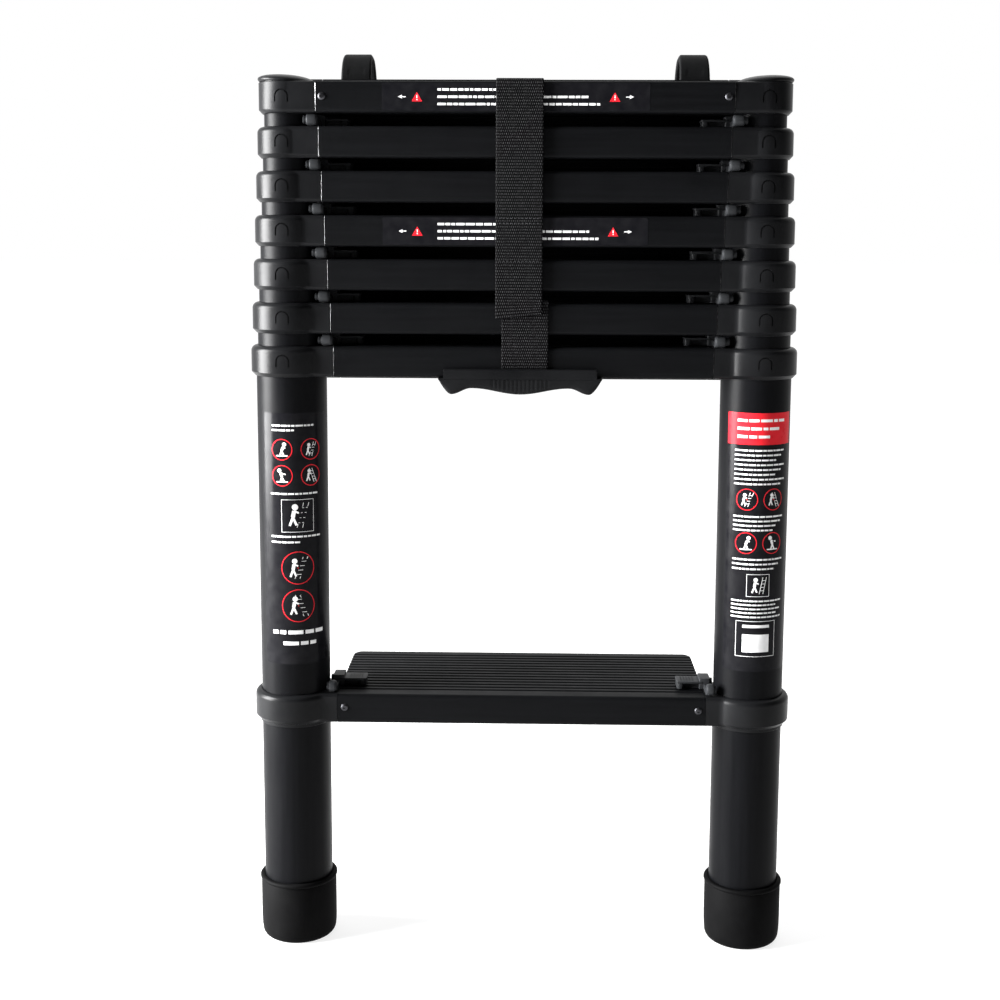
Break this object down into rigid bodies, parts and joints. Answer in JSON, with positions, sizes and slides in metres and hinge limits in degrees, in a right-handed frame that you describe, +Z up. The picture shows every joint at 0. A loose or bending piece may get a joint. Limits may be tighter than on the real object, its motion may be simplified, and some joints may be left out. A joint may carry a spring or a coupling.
{
  "type": "telescoping ladder",
  "caption": "Closed telescoping ladder with nested round rails, box rungs between moulded collars, thumb release slides, a deep ribbed bottom step, roof hooks, carry handle and webbing strap.",
  "frame": {"origin": "centre of the ladder's footprint, on the ground", "axes": "+Z up along the rails, +X to the climber's right along the rungs, the climber stands on the -Y side and the deep tread and roof hooks are on the +Y side"},
  "size_m": [0.4808, 0.1528, 0.798],
  "materials": {
    "rail_coat": "satin black coated aluminium",
    "rung_coat": "satin black coated aluminium",
    "collar_nylon": "fine grained black nylon",
    "slide_nylon": "smooth dark grey nylon",
    "foot_rubber": "matt black rubber",
    "handle_nylon": "black moulded nylon",
    "strap_webbing": "black nylon webbing",
    "screw_steel": "blackened socket screw",
    "label_film": "glossy printed film",
    "bare_edge": "sawn aluminium",
    "hook_rubber": "rubber coated steel"
  },
  "bodies": {
    "root": {"bottom_step": "rung_coat", "rung_2": "rung_coat", "carry_handle": "handle_nylon", "strap_tab": "strap_webbing", "left_foot": "foot_rubber", "left_tube_1": "rail_coat", "left_collar_1": "collar_nylon", "left_collar_2": "collar_nylon", "right_foot": "foot_rubber", "right_tube_1": "rail_coat", "right_collar_1": "collar_nylon", "right_collar_2": "collar_nylon"},
    "section_3": {"rung_3": "rung_coat", "left_tube_2": "rail_coat", "left_collar_3": "collar_nylon", "right_tube_2": "rail_coat", "right_collar_3": "collar_nylon"},
    "section_4": {"rung_4": "rung_coat", "left_tube_3": "rail_coat", "left_collar_4": "collar_nylon", "right_tube_3": "rail_coat", "right_collar_4": "collar_nylon"},
    "section_5": {"rung_5": "rung_coat", "left_tube_4": "rail_coat", "left_collar_5": "collar_nylon", "right_tube_4": "rail_coat", "right_collar_5": "collar_nylon"},
    "section_6": {"rung_6": "rung_coat", "left_tube_5": "rail_coat", "left_collar_6": "collar_nylon", "right_tube_5": "rail_coat", "right_collar_6": "collar_nylon"},
    "section_7": {"rung_7": "rung_coat", "left_tube_6": "rail_coat", "left_collar_7": "collar_nylon", "right_tube_6": "rail_coat", "right_collar_7": "collar_nylon"},
    "section_8": {"rung_8": "rung_coat", "left_tube_7": "rail_coat", "left_collar_8": "collar_nylon", "right_tube_7": "rail_coat", "right_collar_8": "collar_nylon", "left_roof_hook": "hook_rubber", "right_roof_hook": "hook_rubber", "storage_strap": "strap_webbing"},
    "left_release_1": {"left_release_slide_1": "slide_nylon"},
    "right_release_1": {"right_release_slide_1": "slide_nylon"},
    "left_release_2": {"left_release_slide_2": "slide_nylon"},
    "right_release_2": {"right_release_slide_2": "slide_nylon"},
    "left_release_3": {"left_release_slide_3": "slide_nylon"},
    "right_release_3": {"right_release_slide_3": "slide_nylon"},
    "left_release_4": {"left_release_slide_4": "slide_nylon"},
    "right_release_4": {"right_release_slide_4": "slide_nylon"},
    "left_release_5": {"left_release_slide_5": "slide_nylon"},
    "right_release_5": {"right_release_slide_5": "slide_nylon"},
    "left_release_6": {"left_release_slide_6": "slide_nylon"},
    "right_release_6": {"right_release_slide_6": "slide_nylon"},
    "left_release_7": {"left_release_slide_7": "slide_nylon"},
    "right_release_7": {"right_release_slide_7": "slide_nylon"}
  },
  "joints": [
    {"name": "section_3_extension", "type": "slide", "parent": "root", "child": "section_3", "axis": [0, 0, 1], "range_m": [0, 0.2726]},
    {"name": "section_4_extension", "type": "slide", "parent": "section_3", "child": "section_4", "axis": [0, 0, 1], "range_m": [0, 0.2726]},
    {"name": "section_5_extension", "type": "slide", "parent": "section_4", "child": "section_5", "axis": [0, 0, 1], "range_m": [0, 0.2726]},
    {"name": "section_6_extension", "type": "slide", "parent": "section_5", "child": "section_6", "axis": [0, 0, 1], "range_m": [0, 0.2726]},
    {"name": "section_7_extension", "type": "slide", "parent": "section_6", "child": "section_7", "axis": [0, 0, 1], "range_m": [0, 0.2726]},
    {"name": "section_8_extension", "type": "slide", "parent": "section_7", "child": "section_8", "axis": [0, 0, 1], "range_m": [0, 0.2726]},
    {"name": "left_release_1_travel", "type": "slide", "parent": "root", "child": "left_release_1", "axis": [1, 0, 0], "range_m": [0, 0.009], "stiffness_N_per_m": 200, "springref_m": -0.02},
    {"name": "right_release_1_travel", "type": "slide", "parent": "root", "child": "right_release_1", "axis": [-1, 0, 0], "range_m": [0, 0.009], "stiffness_N_per_m": 200, "springref_m": -0.02},
    {"name": "left_release_2_travel", "type": "slide", "parent": "root", "child": "left_release_2", "axis": [1, 0, 0], "range_m": [0, 0.009], "stiffness_N_per_m": 200, "springref_m": -0.02},
    {"name": "right_release_2_travel", "type": "slide", "parent": "root", "child": "right_release_2", "axis": [-1, 0, 0], "range_m": [0, 0.009], "stiffness_N_per_m": 200, "springref_m": -0.02},
    {"name": "left_release_3_travel", "type": "slide", "parent": "section_3", "child": "left_release_3", "axis": [1, 0, 0], "range_m": [0, 0.009], "stiffness_N_per_m": 200, "springref_m": -0.02},
    {"name": "right_release_3_travel", "type": "slide", "parent": "section_3", "child": "right_release_3", "axis": [-1, 0, 0], "range_m": [0, 0.009], "stiffness_N_per_m": 200, "springref_m": -0.02},
    {"name": "left_release_4_travel", "type": "slide", "parent": "section_4", "child": "left_release_4", "axis": [1, 0, 0], "range_m": [0, 0.009], "stiffness_N_per_m": 200, "springref_m": -0.02},
    {"name": "right_release_4_travel", "type": "slide", "parent": "section_4", "child": "right_release_4", "axis": [-1, 0, 0], "range_m": [0, 0.009], "stiffness_N_per_m": 200, "springref_m": -0.02},
    {"name": "left_release_5_travel", "type": "slide", "parent": "section_5", "child": "left_release_5", "axis": [1, 0, 0], "range_m": [0, 0.009], "stiffness_N_per_m": 200, "springref_m": -0.02},
    {"name": "right_release_5_travel", "type": "slide", "parent": "section_5", "child": "right_release_5", "axis": [-1, 0, 0], "range_m": [0, 0.009], "stiffness_N_per_m": 200, "springref_m": -0.02},
    {"name": "left_release_6_travel", "type": "slide", "parent": "section_6", "child": "left_release_6", "axis": [1, 0, 0], "range_m": [0, 0.009], "stiffness_N_per_m": 200, "springref_m": -0.02},
    {"name": "right_release_6_travel", "type": "slide", "parent": "section_6", "child": "right_release_6", "axis": [-1, 0, 0], "range_m": [0, 0.009], "stiffness_N_per_m": 200, "springref_m": -0.02},
    {"name": "left_release_7_travel", "type": "slide", "parent": "section_7", "child": "left_release_7", "axis": [1, 0, 0], "range_m": [0, 0.009], "stiffness_N_per_m": 200, "springref_m": -0.02},
    {"name": "right_release_7_travel", "type": "slide", "parent": "section_7", "child": "right_release_7", "axis": [-1, 0, 0], "range_m": [0, 0.009], "stiffness_N_per_m": 200, "springref_m": -0.02}
  ]
}
